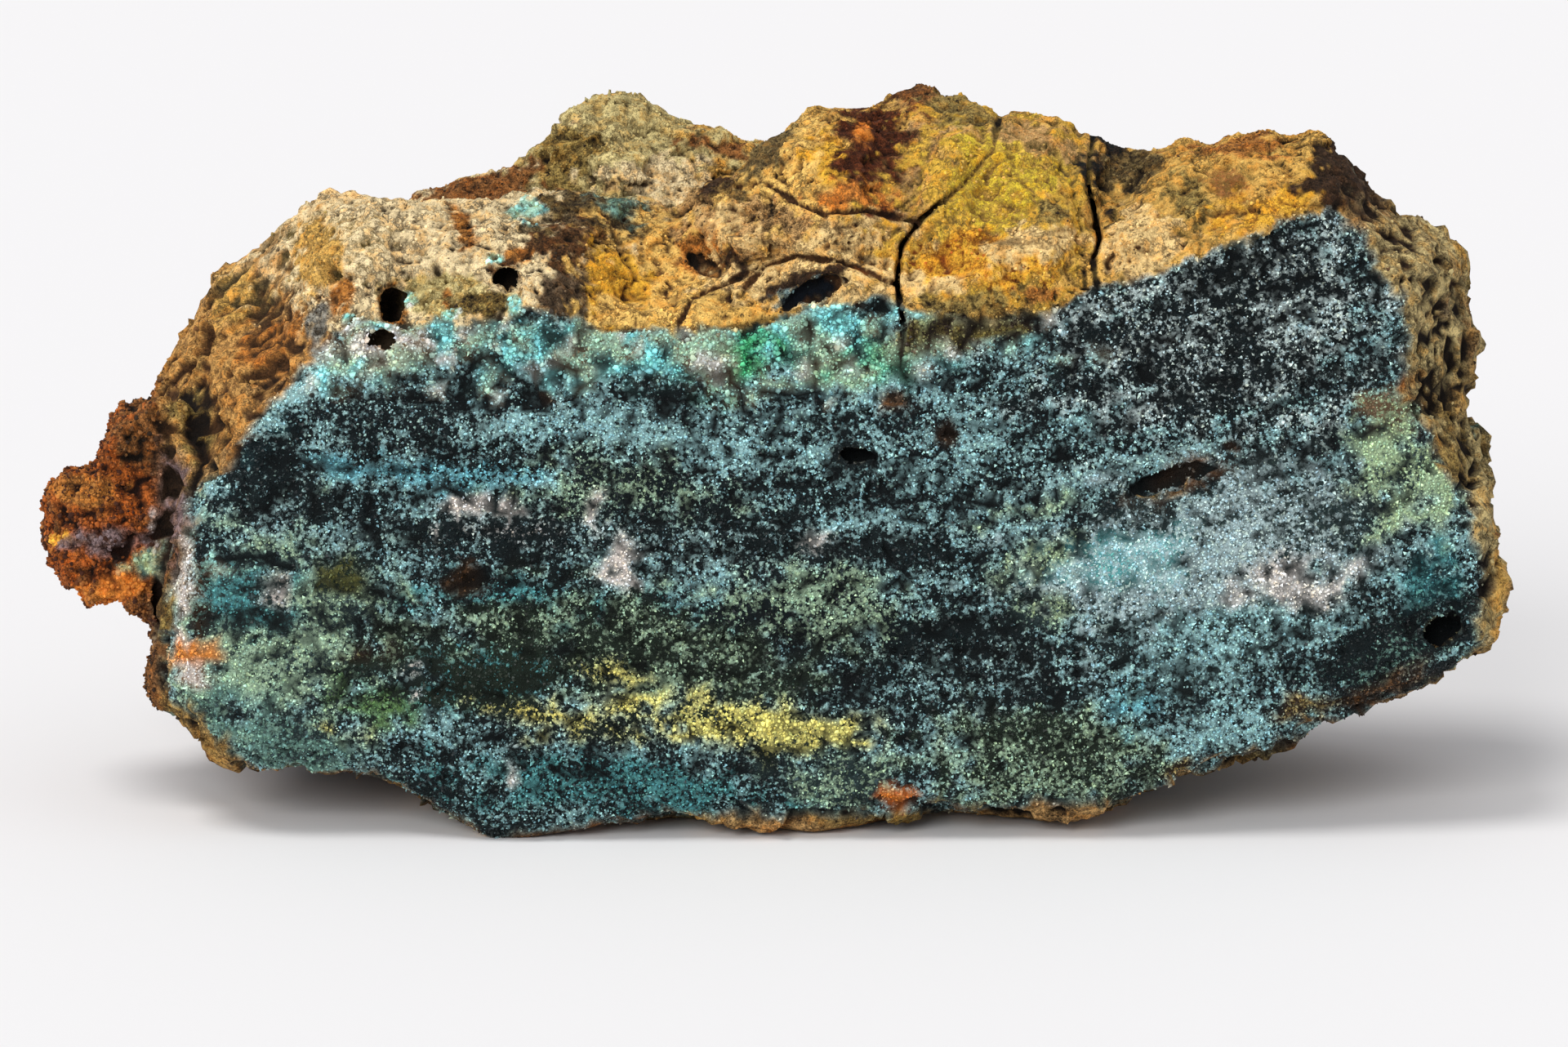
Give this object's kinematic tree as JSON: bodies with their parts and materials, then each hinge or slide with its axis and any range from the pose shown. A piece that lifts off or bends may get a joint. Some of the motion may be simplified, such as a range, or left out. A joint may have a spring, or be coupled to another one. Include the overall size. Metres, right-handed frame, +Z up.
{
  "type": "atacamite specimen",
  "caption": "Natural rock specimen standing on its flat foot, its broad front face crusted with fine blue-green crystals under a cracked ochre rind.",
  "frame": {"origin": "centre of the bounding box, on the surface the specimen stands on", "axes": "+X along the specimen's length to the right as seen from the crusted face, +Y from the crusted face to the rear, +Z up"},
  "size_m": [0.1342, 0.0558, 0.0632],
  "materials": {
    "rock": "rough weathered rock with an ochre and rust rind, and a sugary blue-green crystal crust on the front face"
  },
  "bodies": {
    "root": {"atacamite_rock": "rock"}
  },
  "joints": []
}
